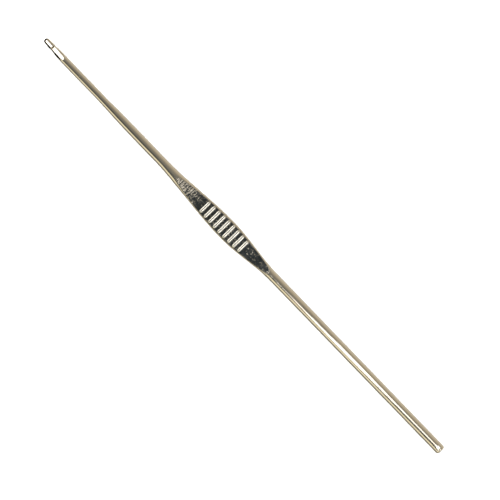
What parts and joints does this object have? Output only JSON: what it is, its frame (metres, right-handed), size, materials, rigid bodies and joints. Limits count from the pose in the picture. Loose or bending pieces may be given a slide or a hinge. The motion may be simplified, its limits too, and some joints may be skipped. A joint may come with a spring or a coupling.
{
  "type": "crochet hook",
  "caption": "Slim steel crochet hook with an undercut lip and ramped throat, a flattened leaf-shaped thumb rest with raised cross bars, and a straight round handle.",
  "frame": {"origin": "middle of the bounding box: on the axis of the rod, half way along the hook", "axes": "+X along the rod towards the hook's tip; +Y across the thumb rest; +Z out of the thumb rest's barred face, the side on which the mouth opens"},
  "size_m": [0.13, 0.0048, 0.0022],
  "materials": {
    "plated_steel": "tumbled nickel plate on steel, with fine lengthwise polishing lines"
  },
  "bodies": {
    "root": {"head": "plated_steel", "throat": "plated_steel", "shaft": "plated_steel", "shaft_taper": "plated_steel", "neck": "plated_steel", "thumb_rest": "plated_steel", "grip_bars": "plated_steel", "handle": "plated_steel", "handle_end": "plated_steel"}
  },
  "joints": []
}
